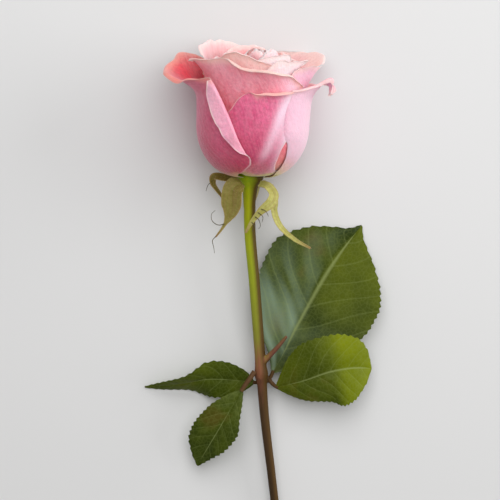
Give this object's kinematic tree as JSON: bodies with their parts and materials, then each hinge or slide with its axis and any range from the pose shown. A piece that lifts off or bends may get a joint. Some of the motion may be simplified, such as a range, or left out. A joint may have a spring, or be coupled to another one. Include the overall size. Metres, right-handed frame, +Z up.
{
  "type": "rose",
  "caption": "Cut pink rose with a half-open bloom, bent-back sepals, a long green-brown stem and toothed leaves, lying on its side.",
  "frame": {"origin": "middle of the underside of the bounding box, on the table, beneath the stem between the leaves and the bloom", "axes": "+Y up the stem towards the bloom, +Z up from the table, +X to the right seen from above"},
  "size_m": [0.0946, 0.2512, 0.0481],
  "materials": {
    "petal_outer": "soft matte with a faint sheen",
    "petal_inner": "soft matte with a faint sheen",
    "leaf": "waxy satin",
    "sepal": "matte",
    "stem": "satin"
  },
  "bodies": {
    "root": {"petal_front": "petal_outer", "petal_left": "petal_outer", "petal_right": "petal_outer", "petal_back_right": "petal_outer", "petal_back_left": "petal_outer", "petal_inner_front": "petal_outer", "petal_inner_right": "petal_outer", "petal_inner_left": "petal_outer", "petal_pointed": "petal_inner", "petal_salmon": "petal_inner", "petal_inner_back": "petal_inner", "petal_third_front": "petal_inner", "petal_third_right": "petal_inner", "petal_third_left": "petal_inner", "petal_fourth_front": "petal_inner", "petal_fourth_right": "petal_inner", "petal_fourth_back": "petal_inner", "petal_fifth_front": "petal_inner", "petal_fifth_right": "petal_inner", "petal_fifth_left": "petal_inner", "heart": "petal_inner", "sepal_front_left": "sepal", "sepal_left": "sepal", "sepal_front_right": "sepal", "sepal_right": "sepal", "sepal_back": "sepal", "stem": "stem", "leaf_front": "leaf", "leaf_back": "leaf"}
  },
  "joints": []
}
